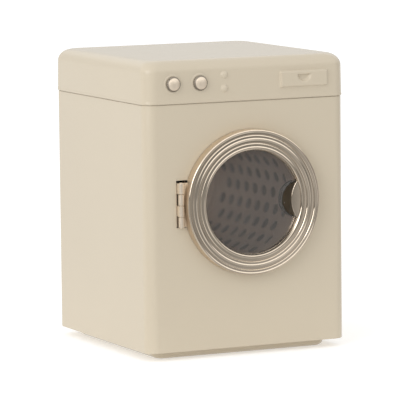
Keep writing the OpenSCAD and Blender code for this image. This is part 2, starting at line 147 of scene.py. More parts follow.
class DoorSettings(bpy.types.PropertyGroup):
    """Plating, window and segments of the door."""

    plating: FloatVectorProperty(name="Plating", description="Colour of the plated metal", subtype="COLOR",
                                 size=3, min=0, max=1, default=(0.77, 0.658, 0.524))
    segments: IntProperty(name="Segments", description="Segments round the door ring", default=192, min=48,
                          max=512)
    smoke: FloatVectorProperty(name="Smoked plastic", description="Colour of the finger cup", subtype="COLOR",
                               size=3, min=0, max=1, default=(0.32, 0.265, 0.19))


class DrumSettings(bpy.types.PropertyGroup):
    """Colour and holes of the drum."""

    colour: FloatVectorProperty(name="Drum", description="Colour of the drum's metal", subtype="COLOR",
                                size=3, min=0, max=1, default=(0.95, 0.81, 0.71))
    hole_steps: IntProperty(name="Hole steps", description="Steps along a side of the tile round a hole",
                            default=6, min=4, max=12)


class StageSettings(bpy.types.PropertyGroup):
    """Camera, lamp and surroundings of the plain studio."""

    camera_place: FloatVectorProperty(name="Camera place", description="Where the camera stands", size=3,
                                      subtype="TRANSLATION", default=(-0.67170, -1.40062, 0.24458))
    camera_turn: FloatVectorProperty(name="Camera turn", description="Yaw, pitch down and roll of the camera",
                                     size=3, subtype="EULER",
                                     default=(math.radians(25.6396), math.radians(6.6984), math.radians(-0.6037)))
    focal: FloatProperty(name="Focal length", description="Focal length in millimetres on a 36 mm sensor",
                         default=319.253, min=50, max=1000)
    key_power: FloatProperty(name="Key power", description="Power of the large lamp at the left",
                             default=5.6, min=0, max=100, unit="POWER")
    sky: FloatProperty(name="Sky", description="Strength of the even light all round", default=1.0, min=0,
                       max=2)
    floor_bounce: FloatProperty(name="Floor bounce", description="Light that the floor beside the machine adds to it",
                                default=0.2, min=0, max=1)
    dim_floor: FloatProperty(name="Dim floor", description="How bright the floor in front shows in metal",
                             default=0.29, min=0, max=1)
    dim_band: FloatProperty(name="Dim band", description="How bright the room just above the floor shows in metal",
                            default=0.18, min=0, max=1)


def settings():
    """All of the scene's property groups, by short names."""
    scene = bpy.context.scene
    return scene.washer_cabinet, scene.washer_door, scene.washer_drum, scene.washer_stage


# Node tools

def add_node(tree, kind, inputs=None, **options):
    """A node with its options, and with inputs that are set to values or fed by sockets."""
    made = tree.nodes.new(kind)
    for name, value in options.items():
        setattr(made, name, value)
    for label, value in (inputs or {}).items():
        if isinstance(value, bpy.types.NodeSocket):
            tree.links.new(value, made.inputs[label])
        else:
            made.inputs[label].default_value = value
    return made


def math_node(tree, operation, *values):
    """A math node fed by sockets or numbers. Returns its output."""
    return add_node(tree, "ShaderNodeMath", dict(enumerate(values)), operation=operation).outputs[0]


def noise(tree, vector, scale, detail):
    """A noise texture on a vector, with its scale per metre. Returns its factor."""
    made = add_node(tree, "ShaderNodeTexNoise", {"Vector": vector, "Scale": scale, "Detail": detail})
    return made.outputs["Fac"]


def fade(tree, value, start, end, low=0.0, high=1.0):
    """A value that goes smoothly from low to high as another goes from start to end."""
    ramp = add_node(tree, "ShaderNodeMapRange", {"Value": value, "From Min": start, "From Max": end,
                                                 "To Min": low, "To Max": high}, interpolation_type="SMOOTHSTEP")
    return ramp.outputs[0]


def object_vector(tree, origin=(0, 0, 0)):
    """Object coordinates, counted from a point of the machine."""
    place = tree.nodes.new("ShaderNodeTexCoord").outputs["Object"]
    shift = add_node(tree, "ShaderNodeMapping", {"Vector": place, "Location": [-value for value in origin]})
    return shift.outputs[0]


def mix_shaders(tree, share, first, second):
    """The second shader in place of the first, as far as a share says. Returns its output."""
    return add_node(tree, "ShaderNodeMixShader", {0: share, 1: first, 2: second}).outputs[0]


# Shader groups

def shader_group(name, outputs, **inputs):
    """A new shader node group that takes a vector and numbers, which have their defaults here, and gives numbers.
    Returns the group, its input sockets and its output node."""
    tree = bpy.data.node_groups.new(name, "ShaderNodeTree")
    tree.interface.new_socket("Vector", in_out="INPUT", socket_type="NodeSocketVector")
    for label, value in inputs.items():
        tree.interface.new_socket(label, in_out="INPUT", socket_type="NodeSocketFloat").default_value = value
    for label in outputs:
        tree.interface.new_socket(label, in_out="OUTPUT", socket_type="NodeSocketFloat")
    return tree, tree.nodes.new("NodeGroupInput").outputs, tree.nodes.new("NodeGroupOutput")


def send_out(tree, sink, **sockets):
    """Links sockets to the outputs of a group. Returns the group."""
    for label, socket in sockets.items():
        tree.links.new(socket, sink.inputs[label])
    return tree


def use_group(tree, group, vector, **values):
    """A group in a tree, with its values. Returns its outputs."""
    return add_node(tree, "ShaderNodeGroup", {"Vector": vector, **values}, node_tree=group).outputs


def grain_group():
    """Fine unevenness of paint, rolled steel and nylon: a height for bump, and a slow drift for colour and
    roughness."""
    tree, given, sink = shader_group("enamel_grain", ("Height", "Drift"))
    peel = noise(tree, given["Vector"], 900, 2)
    speck = math_node(tree, "MULTIPLY", noise(tree, given["Vector"], 3200, 1), 0.25)
    return send_out(tree, sink, Height=math_node(tree, "ADD", peel, speck), Drift=noise(tree, given["Vector"], 14, 3))


def turned_group():
    """Concentric lines of turned and polished metal about the Y axis: a height, a mask and the radius."""
    tree, given, sink = shader_group("turned_lines", ("Height", "Mask", "Radius"), Fineness=5200.0)
    x, y, z = add_node(tree, "ShaderNodeSeparateXYZ", {0: given["Vector"]}).outputs
    squares = [math_node(tree, "MULTIPLY", value, value) for value in (x, z)]
    radius = math_node(tree, "SQRT", math_node(tree, "ADD", *squares))
    across, along = (math_node(tree, "MULTIPLY", value, given["Fineness"]) for value in (radius, y))
    around = math_node(tree, "MULTIPLY", math_node(tree, "COSINE", math_node(tree, "ARCTAN2", z, x)), 1.5)
    place = add_node(tree, "ShaderNodeCombineXYZ", {0: across, 1: along, 2: around}).outputs[0]
    return send_out(tree, sink, Height=noise(tree, place, 1.0, 2), Mask=noise(tree, given["Vector"], 260, 3),
                    Radius=radius)


def dust_group():
    """Sparse specks of dust: a mask that is 1 on a speck."""
    tree, given, sink = shader_group("dust_specks", ("Mask",), Scale=520.0, Size=0.09)
    cells = add_node(tree, "ShaderNodeTexVoronoi", {"Vector": given["Vector"], "Scale": given["Scale"]}).outputs
    near = math_node(tree, "LESS_THAN", cells["Distance"], given["Size"])
    chance = add_node(tree, "ShaderNodeSeparateColor", {0: cells["Color"]}).outputs[0]
    few = math_node(tree, "GREATER_THAN", chance, 0.86)
    return send_out(tree, sink, Mask=math_node(tree, "MULTIPLY", near, few))


def surroundings_group():
    """How bright the room shows in metal, by direction: a dim floor that is lighter straight below, a darker band
    above it with a lighter patch at each side, and white overhead and behind the machine."""
    tree, given, sink = shader_group("surroundings", ("Strength",))
    aim = add_node(tree, "ShaderNodeVectorMath", {0: given["Vector"]}, operation="NORMALIZE").outputs["Vector"]
    x, y, z = add_node(tree, "ShaderNodeSeparateXYZ", {0: aim}).outputs
    stage = settings()[3]
    level = fade(tree, z, -0.1, 0.04, stage.dim_floor, stage.dim_band)
    level = math_node(tree, "ADD", level, fade(tree, z, -0.6, -0.2, 0.2, 0.0))
    for centre, half, height in ((-0.55, 0.35, 0.3), (0.68, 0.36, 0.26)):
        gone = math_node(tree, "ABSOLUTE", math_node(tree, "SUBTRACT", x, centre))
        level = math_node(tree, "ADD", level, fade(tree, gone, 0.0, half, height, 0.0))
    above, behind = fade(tree, z, 0.18, 0.42), fade(tree, y, -0.1, 0.3)
    rest = math_node(tree, "SUBTRACT", 1.0, math_node(tree, "MAXIMUM", above, behind))
    white = math_node(tree, "MAXIMUM", math_node(tree, "MULTIPLY", above, 1.6), behind)
    return send_out(tree, sink, Strength=math_node(tree, "ADD", white, math_node(tree, "MULTIPLY", level, rest)))


# Materials

def new_material(name, **values):
    """A material with its Principled node and its output. values are the node's inputs, with underscores in their
    names for spaces."""
    made = bpy.data.materials.new(name)
    made.use_nodes = True
    tree = made.node_tree
    tree.nodes.clear()
    inputs = {label.replace("_", " "): value for label, value in values.items()}
    shader = add_node(tree, "ShaderNodeBsdfPrincipled", inputs)
    output = add_node(tree, "ShaderNodeOutputMaterial", {"Surface": shader.outputs[0]})
    return made, tree, shader, output


def add_bump(tree, shader, height, strength, distance):
    """Bump from a height on the shader's normal."""
    bump = add_node(tree, "ShaderNodeBump", {"Height": height, "Strength": strength, "Distance": distance})
    tree.links.new(bump.outputs[0], shader.inputs["Normal"])


def vary_colour(tree, shader, factor, first, second):
    """The shader's colour between two colours, or a socket and a colour, by a factor."""
    mix = add_node(tree, "ShaderNodeMix", {"A": first, "B": second, "Factor": factor}, data_type="RGBA")
    tree.links.new(mix.outputs["Result"], shader.inputs["Base Color"])


def darken(tree, shader, factor, colour):
    """The shader's colour turned towards another one by a factor."""
    vary_colour(tree, shader, factor, shader.inputs["Base Color"].links[0].from_socket, colour)


def vary_roughness(tree, shader, factor, low, high):
    """The shader's roughness from low to high as a factor goes from 0 to 1."""
    scaled = add_node(tree, "ShaderNodeMapRange", {"Value": factor, "To Min": low, "To Max": high})
    tree.links.new(scaled.outputs[0], shader.inputs["Roughness"])


def shade(colour, factor=1.0):
    """A colour made lighter or darker, with its alpha."""
    return (*(min(1.0, channel * factor) for channel in colour[:3]), 1.0)


def grained(name, colour, roughness, groups, tints, spread, bump, metallic=0.0):
    """Paint, steel or nylon with a fine uneven surface. tints are its darkest and its lightest shade, spread is how
    far its roughness varies, and bump is the strength and the distance of its grain."""
    made, tree, shader = new_material(name, Metallic=metallic)[:3]
    grain = use_group(tree, groups["grain"], object_vector(tree))
    vary_colour(tree, shader, grain["Drift"], *(shade(colour, tint) for tint in tints))
    vary_roughness(tree, shader, grain["Drift"], roughness - spread, roughness + spread)
    add_bump(tree, shader, grain["Height"], *bump)
    return made


def plated_metal(name, colour, roughness, groups, origin, fineness=9000.0, strength=0.04, metallic=1.0, wall=None,
                 rim=None, foot=None):
    """Satin plated metal with fine turned lines about an axis along Y. Radii about the axis set off three parts.
    wall: from which radius to which the outside turns dull, and its roughness.
    rim: from which radius to which the outside turns darker with painted shade, and its shade.
    foot: the radii between which the lower side is darkened by painted shade, as the start and the end of the fade at
    the outside and of the one at the inside, and its shade."""
    made, tree, shader = new_material(name, Metallic=metallic)[:3]
    vector = object_vector(tree, origin)
    lines = use_group(tree, groups["turned"], vector, Fineness=fineness)
    vary_colour(tree, shader, lines["Mask"], shade(colour, 0.93), shade(colour, 1.06))
    vary_roughness(tree, shader, lines["Mask"], roughness - 0.05, roughness + 0.06)
    add_bump(tree, shader, lines["Height"], strength, 0.00003)
    if wall:
        rough = fade(tree, lines["Radius"], wall[0], wall[1], 0.0, wall[2])
        both = math_node(tree, "MAXIMUM", shader.inputs["Roughness"].links[0].from_socket, rough)
        tree.links.new(both, shader.inputs["Roughness"])
    if rim:
        # Painted shade: the colour turns darker outside the rim radius.
        darken(tree, shader, fade(tree, lines["Radius"], rim[0], rim[1]), shade(colour, rim[2]))
    if foot:
        # Painted shade on the lower side within a band of radii, fading out towards the lower right.
        down = add_node(tree, "ShaderNodeVectorMath", {0: vector, 1: (0.1, 0, -1)}, operation="DOT_PRODUCT")
        under = fade(tree, down.outputs["Value"], 0.0125, 0.0195)
        band = math_node(tree, "MULTIPLY", fade(tree, lines["Radius"], foot[3], foot[2]),
                         fade(tree, lines["Radius"], foot[0], foot[1]))
        darken(tree, shader, math_node(tree, "MULTIPLY", band, under), shade(colour, foot[4]))
    return made


def clear_plastic(name, colour, roughness, groups, transmission, rim=None):
    """Moulded see-through plastic with a little dust. Lamps reach what is behind it. rim says from which radius to
    which the outside is darkened by painted shade, its shade, and the place that the radii are counted from."""
    made, tree, shader, output = new_material(name, IOR=1.49, Transmission_Weight=transmission)
    dust = use_group(tree, groups["dust"], object_vector(tree))["Mask"]
    vary_colour(tree, shader, dust, shade(colour), (0.9, 0.9, 0.9, 1))
    vary_roughness(tree, shader, dust, roughness, 0.6)
    if rim:
        radius = use_group(tree, groups["turned"], object_vector(tree, rim[3]))["Radius"]
        # Painted shade towards the outside.
        darken(tree, shader, fade(tree, radius, rim[0], rim[1]), shade(colour, rim[2]))
    see = add_node(tree, "ShaderNodeBsdfTransparent", {"Color": shade(colour, 0.95)}).outputs[0]
    shadow = tree.nodes.new("ShaderNodeLightPath").outputs["Is Shadow Ray"]
    tree.links.new(mix_shaders(tree, shadow, shader.outputs[0], see), output.inputs["Surface"])
    return made


MATERIALS = {}


def make_materials():
    """Fills MATERIALS, once."""
    cabinet, door, drum = settings()[:3]
    groups = {"grain": grain_group(), "turned": turned_group(), "dust": dust_group()}
    MATERIALS["cream"] = grained("cream_enamel", cabinet.paint, cabinet.gloss, groups, (0.975, 1.025), 0.04,
                                 (0.10, 0.00006))
    # The ring's bore carries painted shade on its lower side, set by foot.
    MATERIALS["nickel"] = plated_metal("satin_nickel_ring", door.plating, 0.1, groups, (DOOR_X, 0, DOOR_Z),
                                       wall=(0.03122, 0.03129, 0.5), foot=(0.0231, 0.02275, 0.02242, 0.0223, 0.3))
    # The hinge's plating is a lighter copy of the ring's: painted light.
    MATERIALS["hinge"] = plated_metal("satin_nickel_hinge", shade(door.plating, 1.1), 0.3, groups,
                                      (HINGE.x, HINGE.y, 0), fineness=1500.0, strength=0.06, metallic=0.6)
    # The dials' plating is a lighter copy of the ring's, for painted light, and their edges beyond 2.45 mm are
    # darkened by painted shade.
    for side, place in DIALS.items():
        MATERIALS["dial_" + side] = plated_metal("satin_nickel_dial_" + side, shade(door.plating, 1.13), 0.4, groups,
                                                 (place.x, 0, place.z), fineness=6500.0, strength=0.14,
                                                 metallic=0.5, rim=(0.00245, 0.0028, 0.3))
    for label, name, colour, roughness in (("steel", "zinc_plated_steel", (0.5, 0.49, 0.47), 0.38),
                                           ("drum", "pressed_drum_steel", drum.colour, 0.5)):
        MATERIALS[label] = grained(name, colour, roughness, groups, (0.85, 1.12), 0.08, (0.2, 0.00005), metallic=1.0)
    MATERIALS["clear"] = clear_plastic("clear_window_plastic", (0.93, 0.90, 0.875), 0.06, groups, 0.965)
    # The smoked cup is darkened towards its edge by painted shade.
    MATERIALS["smoke"] = clear_plastic("smoked_cup_plastic", door.smoke, 0.2, groups, 0.35,
                                       rim=(0.0071, 0.0079, 0.1, (DOOR_X + CUP_X * MM, 0, DOOR_Z)))
    MATERIALS["nylon"] = grained("natural_nylon", (0.75, 0.74, 0.70), 0.45, groups, (0.94, 1.04), 0.0,
                                 (0.15, 0.00005))


# Mesh tools. Sections are in millimetres, and meshes in metres.

def make_object(name, bm, sharp=SHARP):
    """An object in the scene from a bmesh, shaded smooth except at edges sharper than an angle."""
    bmesh.ops.recalc_face_normals(bm, faces=bm.faces)
    mesh = bpy.data.meshes.new(name)
    bm.to_mesh(mesh)
    bm.free()
    made = bpy.data.objects.new(name, mesh)
    bpy.context.scene.collection.objects.link(made)
    smooth(mesh, sharp)
    return made


def smooth(mesh, sharp):
    """Smooth shading with sharp edges above an angle in degrees. Large faces stay flat."""
    mesh.set_sharp_from_angle(angle=math.radians(sharp))
    mesh.polygons.foreach_set("use_smooth", [polygon.area < FLAT_AREA for polygon in mesh.polygons])


def dress(made, material, body, slot, *nodes):
    """Gives a piece its material and its body, and hides the nodes that it stands for. slot is not used."""
    made.data.materials.clear()
    made.data.materials.append(MATERIALS[material])
    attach(made, body)
    if nodes:
        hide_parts(*nodes)


def repaint(node, material):
    """A new material on a node that keeps its own shape."""
    mesh = frame["nodes"][node].data
    mesh.materials.clear()
    mesh.materials.append(MATERIALS[material])


def bridge(bm, first, second, closed=True):
    """Quads, or triangles at a pole, between two rows of vertices."""
    count = max(len(first), len(second))
    for step in range(count if closed else count - 1):
        after = (step + 1) % count
        corners = [first[step % len(first)], first[after % len(first)],
                   second[after % len(second)], second[step % len(second)]]
        unique = [corner for place, corner in enumerate(corners) if corner not in corners[:place]]
        if len(unique) > 2:
            bm.faces.new(unique)


def bridge_all(bm, rows, closed=True):
    """Faces between each row of vertices and the next. Returns the rows."""
    for first, second in zip(rows, rows[1:]):
        bridge(bm, first, second, closed)
    return rows


def axis_vertex(bm, place, radius, turn, forward):
    """A vertex about an axis along Y through a place in metres: its radius in millimetres, its turn in radians and
    its distance forward in millimetres."""
    return bm.verts.new((place[0] + MM * radius * math.cos(turn), place[1] - MM * forward,
                         place[2] + MM * radius * math.sin(turn)))


def lathe(outline, segments, place, closed=True):
    """A bmesh turned about an axis along Y. The outline's points are (radius, distance forward) in millimetres,
    and place is a point of the axis in metres, from which the distance forward is counted."""
    bm = bmesh.new()
    rows = []
    for radius, forward in outline:
        turns = [2 * math.pi * k / segments for k in range(1 if radius < 1e-6 else segments)]
        rows.append([axis_vertex(bm, place, radius, turn, forward) for turn in turns])
    bridge_all(bm, rows + rows[:1] if closed else rows)
    return bm


def arc(centre, radius, start, end, steps):
    """Points of an arc in degrees, ends included."""
    angles = [math.radians(start + (end - start) * k / steps) for k in range(steps + 1)]
    return [(centre[0] + radius * math.cos(a), centre[1] + radius * math.sin(a)) for a in angles]


def rounded_loop(width, depth, radius, steps, front_cells):
    """Points of a rounded rectangle about the origin, in millimetres, with the front side cut into cells."""
    points = []
    cx, cy = width / 2 - radius, depth / 2 - radius
    for quarter, (sx, sy) in enumerate(((1, 1), (-1, 1), (-1, -1), (1, -1))):
        points += arc((sx * cx, sy * cy), radius, 90 * quarter, 90 * quarter + 90, steps)
        if quarter == 2:
            points += [(-cx + 2 * cx * k / front_cells, -depth / 2) for k in range(1, front_cells)]
    return points


def sweep_levels(bm, size, levels, steps, front_cells=1, raise_front=None):
    """Rows of vertices round rounded rectangles, one for each (inset, height, corner radius). size is the width and
    the depth without inset, and raise_front says how far a place of the front (x, height) stands out."""
    rows = []
    for inset, height, radius in levels:
        width, depth = (side - 2 * inset for side in size)
        row = []
        for x, y in rounded_loop(width, depth, radius, steps, front_cells):
            if raise_front and abs(y + depth / 2) < 1e-6:
                y -= raise_front(x, height)
            row.append(bm.verts.new((x * MM, y * MM, height * MM)))
        rows.append(row)
    return bridge_all(bm, rows)


def box_bmesh(low, high, bevel=0.0):
    """A box between two corners in metres, with round edges if a bevel is given."""
    bm = bmesh.new()
    bmesh.ops.create_cube(bm, size=1)
    bmesh.ops.scale(bm, vec=[b - a for a, b in zip(low, high)], verts=bm.verts)
    bmesh.ops.translate(bm, vec=[(a + b) / 2 for a, b in zip(low, high)], verts=bm.verts)
    if bevel:
        bmesh.ops.bevel(bm, geom=list(bm.edges), offset=bevel, segments=2, profile=0.5, affect="EDGES")
    return bm


def carve(target, *cutters, sharp=SHARP):
    """Cuts temporary objects out of a piece and removes them."""
    for cutter in cutters:
        cut = target.modifiers.new("cut", "BOOLEAN")
        cut.operation = "DIFFERENCE"
        cut.object = cutter
        cut.solver = "EXACT"
    settle(target, sharp)
    for cutter in cutters:
        bpy.data.objects.remove(cutter)


def settle(target, sharp=SHARP):
    """Turns a piece and its modifiers into a plain mesh."""
    bpy.context.view_layer.update()
    evaluated = target.evaluated_get(bpy.context.evaluated_depsgraph_get())
    mesh = bpy.data.meshes.new_from_object(evaluated)
    target.modifiers.clear()
    target.data = mesh
    mesh.name = target.name
    smooth(mesh, sharp)


def round_edges(target, width, angle):
    """Rounds a piece's edges that are sharper than an angle in degrees."""
    bevel = target.modifiers.new("round", "BEVEL")
    bevel.width = width
    bevel.segments = 2
    bevel.limit_method = "ANGLE"
    bevel.angle_limit = math.radians(angle)
    bevel.use_clamp_overlap = True
    settle(target)


def join_bmeshes(parts):
    """One bmesh from several."""
    whole = bmesh.new()
    for part in parts:
        mesh = bpy.data.meshes.new("part")
        part.to_mesh(mesh)
        part.free()
        whole.from_mesh(mesh)
        bpy.data.meshes.remove(mesh)
    return whole


# Cabinet

def ease(value):
    """0 below 0, 1 above 1 and a smooth step between them."""
    value = min(1.0, max(0.0, value))
    return value * value * (3 - 2 * value)


def emboss(x, z):
    """How far the lid's front stands out at a place, in millimetres."""
    rise = settings()[0].drawer_rise / MM
    # Drawer front with soft edges, as the distance outside a rectangle about its middle
    dx, dz = (abs(at - middle) - half for at, middle, half in zip((x, z), DRAWER, DRAWER_HALF))
    away = math.hypot(max(dx, 0), max(dz, 0)) + min(max(dx, dz), 0)
    out = rise * ease((0.85 - away) / 0.9)
    # Finger scoop: a sharp upper edge and a floor that runs out below it
    sx, sz = ((at - middle) / half for at, middle, half in zip((x, z), SCOOP, SCOOP_HALF))
    if sz < 0:
        out -= rise * ease((1 - math.hypot(sx, sz)) / 0.42) * ease(-sz / 0.05)
    # Two lamp bumps with flat crowns
    for lamp_x, lamp_z in LAMPS:
        gone = math.hypot(x - lamp_x, z - lamp_z) / LAMP_R
        if gone < 1:
            out = max(out, LAMP_RISE * (1 - gone * gone) ** 0.7)
    # Low collars round the dials
    for place in DIALS.values():
        gone = math.hypot(x - place.x / MM, z - place.z / MM)
        out = max(out, COLLAR_RISE * ease((COLLAR_R - gone) / 0.5))
    return out


class WASHER_OT_cabinet(bpy.types.Operator):
    """Build the painted wrap with its door opening, hinge slot, seam groove and folded back joint"""

    bl_idname = "washer.cabinet"
    bl_label = "Cabinet"

    def execute(self, context):
        size = ((WRAP_HIGH.x - WRAP_LOW.x) / MM, (WRAP_HIGH.y - WRAP_LOW.y) / MM)
        low, high = WRAP_LOW.z / MM, WRAP_HIGH.z / MM
        seam, groove = LID_LOW.z / MM, settings()[0].seam_gap / MM
        # Inset and height of each level: the lower edge, the outer side, the groove under the lid, the inner side
        section = [(SHEET, low + 0.12), (SHEET - 0.1, low + 0.02), (0.28, low), (0.12, low + 0.05),
                   (0.03, low + 0.17), (0, low + 0.35), (0, seam - 0.58), (0.02, seam - 0.44), (0.1, seam - 0.38),
                   (groove, seam - 0.36), (groove, high), (SHEET + 0.2, high), (SHEET + 0.2, seam - 0.6),
                   (SHEET, seam - 1.2)]
        bm = bmesh.new()
        rows = sweep_levels(bm, size, [(inset, height, CORNER - inset) for inset, height in section], steps=12)
        bridge(bm, rows[-1], rows[0])
        bmesh.ops.remove_doubles(bm, verts=bm.verts, dist=1e-7)
        shell = make_object("cabinet_shell", bm)
        reach = 3
        opening = [(0, -reach), (NECK_BORE, -reach), (NECK_BORE, reach), (0, reach)]
        hole = make_object("hole", lathe(opening, 192, DOOR_AXIS, closed=False))
        slot = make_object("slot", box_bmesh((SLOT_LEFT * MM, FRONT_Y - reach * MM, SLOT_LOW * MM),
                                             (SLOT_RIGHT * MM, FRONT_Y + reach * MM, SLOT_HIGH * MM)))
        carve(shell, hole, slot)
        fold = make_object("fold", box_bmesh((FOLD_LEFT * MM, WRAP_HIGH.y - 0.2 * MM, (low - 1) * MM),
                                             (FOLD_RIGHT * MM, WRAP_HIGH.y + MM, (high + 1) * MM)))
        carve(shell, fold)
        round_edges(shell, 0.00008, angle=50)
        dress(shell, "cream", "cabinet", "cream_paint", "cabinet_wrap")
        return {"FINISHED"}


class WASHER_OT_lid(bpy.types.Operator):
    """Build the drawn lid with its round edges and the embossing on its front"""

    bl_idname = "washer.lid"
    bl_label = "Lid"

    def execute(self, context):
        cell = settings()[0].emboss_cell / MM
        size = (2 * LID_HIGH.x / MM, 2 * LID_HIGH.y / MM)
        low, high = LID_LOW.z / MM, LID_HIGH.z / MM
        corner, round_r = CORNER + 0.6, CORNER - 0.1 + SHEET
        start, straight, lean, flare = low + 0.25, high - round_r, 0.16, 0.09
        count = round((straight - start) / cell)
        cells = round((size[0] - 2 * corner) / cell)

        def inset_at(height):
            """How far the wall leans in at a height, with a small flare at its lower edge."""
            return lean * (height - low) / (straight - low) + flare * ease((height - low - 0.35) / 1.1)

        skirt = [(SHEET, low + 0.2), (SHEET - 0.12, low + 0.03), (0.16, low), (0.04, low + 0.08)]
        heights = [start + (straight - start) * k / count for k in range(count + 1)]
        top = inset_at(straight)
        outside = skirt + [(inset_at(height), height) for height in heights]
        outside += [(top + (round_r - top) * (1 - across), straight + round_r * up)
                    for across, up in arc((0, 0), 1, 5, 90, 17)]
        inner_r = round_r - SHEET
        inside = [skirt[0], (SHEET + top, straight)]
        inside += [(SHEET + top + inner_r * (1 - across), straight + inner_r * up)
                   for across, up in arc((0, 0), 1, 10, 90, 8)]

        bm = bmesh.new()
        rows = sweep_levels(bm, size, [(*level, corner) for level in outside], 16, cells,
                            raise_front=lambda x, z: emboss(x, z) if start <= z <= straight else 0.0)
        under = sweep_levels(bm, size, [(*level, corner - SHEET) for level in inside], 16, cells)
        bm.faces.new(rows[-1])
        bm.faces.new(under[-1])
        bridge(bm, rows[0], under[0])
        bmesh.ops.remove_doubles(bm, verts=bm.verts, dist=1e-6)
        bmesh.ops.dissolve_degenerate(bm, edges=bm.edges, dist=1e-7)
        dress(make_object("lid_cap", bm), "cream", "cabinet", "cream_paint", "lid")
        return {"FINISHED"}


class WASHER_OT_base(bpy.types.Operator):
    """Build the drawn base with its round lower edge"""

    bl_idname = "washer.base"
    bl_label = "Base"

    def execute(self, context):
        size = ((BASE_HIGH.x - BASE_LOW.x) / MM, (BASE_HIGH.y - BASE_LOW.y) / MM)
        rim, skirt, inset, edge, corner = BASE_HIGH.z / MM, WRAP_LOW.z / MM, 6.3 - SHEET, 2.6, 5.0
        # Inset, height and corner radius of each level: down the outer side, and up the inner side
        outside = [(0, rim, 4.55), (0, skirt + 0.3, 4.55), (0.3, skirt, 4.25)]
        outside += [(inset - 0.25, skirt, 5.25), (inset, skirt - 0.25, corner)]
        outside += [(i, z, corner + inset - i) for i, z in arc((inset + edge, edge), edge, 180, 270, 9)]
        inside = [(i, z, corner + inset - i) for i, z in arc((inset + edge, edge), edge - SHEET, 270, 180, 6)]
        inside += [(inset + SHEET, skirt + SHEET, 4.6), (SHEET, skirt + SHEET, 4.1), (SHEET, rim, 4.1)]
        bm = bmesh.new()
        rows, under = (sweep_levels(bm, size, side, steps=10) for side in (outside, inside))
        bm.faces.new(rows[-1])
        bm.faces.new(under[0])
        bridge(bm, rows[0], under[-1])
        bmesh.ops.remove_doubles(bm, verts=bm.verts, dist=1e-7)
        dress(make_object("base_plinth", bm), "cream", "cabinet", "cream_paint", "base_tray")
        return {"FINISHED"}


class WASHER_OT_neck(bpy.types.Operator):
    """Build the neck that lines the door opening"""

    bl_idname = "washer.neck"
    bl_label = "Neck"

    def execute(self, context):
        wall, length, flange, bend = 0.5, 14.45, 28.6, 0.3
        behind = -SHEET - wall
        outline = [(NECK_BORE + bend, -SHEET)] + arc((NECK_BORE + bend, -SHEET - bend), bend, 90, 180, 4)
        outline += [(NECK_BORE, -length + 0.2)] + arc((NECK_BORE + wall / 2, -length + 0.2), wall / 2, 180, 360, 6)
        outline += [(NECK_BORE + wall, behind), (flange, behind), (flange, -SHEET)]
        neck = make_object("door_neck", lathe(outline, SEGMENTS, DOOR_AXIS))
        dress(neck, "drum", "cabinet", "drum_steel", "neck_ring")
        return {"FINISHED"}


# Door

# The pressed face of the door ring: (radius, height above or below its front plane) in millimetres
RING_FACE = ((23.6, 0.0), (24.2, -0.28), (25.05, -0.31), (25.48, -0.53), (25.8, -0.27), (26.5, -0.3), (27.12, 0.0),
             (27.8, -0.28), (28.5, -0.31), (28.96, -0.53), (29.28, -0.27), (30.0, -0.3), (30.6, 0.0))


def face_height(radius):
    """Height of the pressed face at a radius, smooth between its points."""
    for (r0, h0), (r1, h1) in zip(RING_FACE, RING_FACE[1:]):
        if r0 <= radius <= r1:
            return h0 + (h1 - h0) * ease((radius - r0) / (r1 - r0))
    return 0.0


def ring_outline():
    """Closed outline of the door ring's section, as (radius, distance forward) in millimetres."""
    outer, front = (RING_HIGH.x - DOOR_X) / MM, (FRONT_Y - RING_LOW.y) / MM
    wall, edge, back, seat, step = 0.8, 0.72, 0.3, 4.1, 0.05
    first, last = RING_FACE[0][0], RING_FACE[-1][0]
    # Outer wall, round edge and face
    points = [(outer, back)] + arc((outer - edge, front - edge), edge, 0, 88, 10)
    for k in range(round((last - first) / step) + 1):
        radius = last - step * k
        points.append((radius, front + face_height(radius)))
    # Inner flank, lip turned in over the window, and bore
    points += [(23.3, front - 0.04), (23.05, front - 0.13), (22.86, front - 0.26), (22.72, front - 0.42)]
    points += [(RING_LIP + 0.06, front - 1.26), (RING_LIP, front - 1.36), (RING_LIP, front - 1.46)]
    points += [(RING_LIP + 0.06, front - 1.54), (RING_BORE + 0.01, front - 1.75)]
    points += [(RING_BORE + 0.03, WINDOW_FRONT + 0.3), (RING_BORE + 0.06, WINDOW_FRONT + 0.1)]
    # Seat of the window and hollow back
    points += [(RING_BORE + 0.12, WINDOW_FRONT + 0.02), (RING_BORE + wall, WINDOW_FRONT + 0.02)]
    points += [(RING_BORE + wall, seat), (outer - wall, seat), (outer - wall, back)]
    return points


def lens_loop(centre, radius, right, steps=28):
    """The outline where two round discs overlap, as points in millimetres from the door's axis. centre and radius
    are of the disc whose edge shows at the left, and right is the radius of the one at the axis."""
    meet_x = (right * right - radius * radius + centre * centre) / (2 * centre)
    meet_z = math.sqrt(max(right * right - meet_x * meet_x, 0))
    half_left = math.degrees(math.atan2(meet_z, centre - meet_x))
    half_right = math.degrees(math.atan2(meet_z, meet_x))
    points = arc((centre, 0), radius, 180 - half_left, 180 + half_left, steps)
    return points + arc((0, 0), right, -half_right, half_right, steps)[1:-1]


def lens_rows(bm, centre, levels):
    """Rows of vertices on the door's axis, one for each (left disc's radius, right disc's radius, distance forward).
    centre is the left disc's."""
    rows = [[bm.verts.new((DOOR_X + x * MM, FRONT_Y - forward * MM, DOOR_Z + z * MM))
             for x, z in lens_loop(centre, left, right)] for left, right, forward in levels]
    return bridge_all(bm, rows)


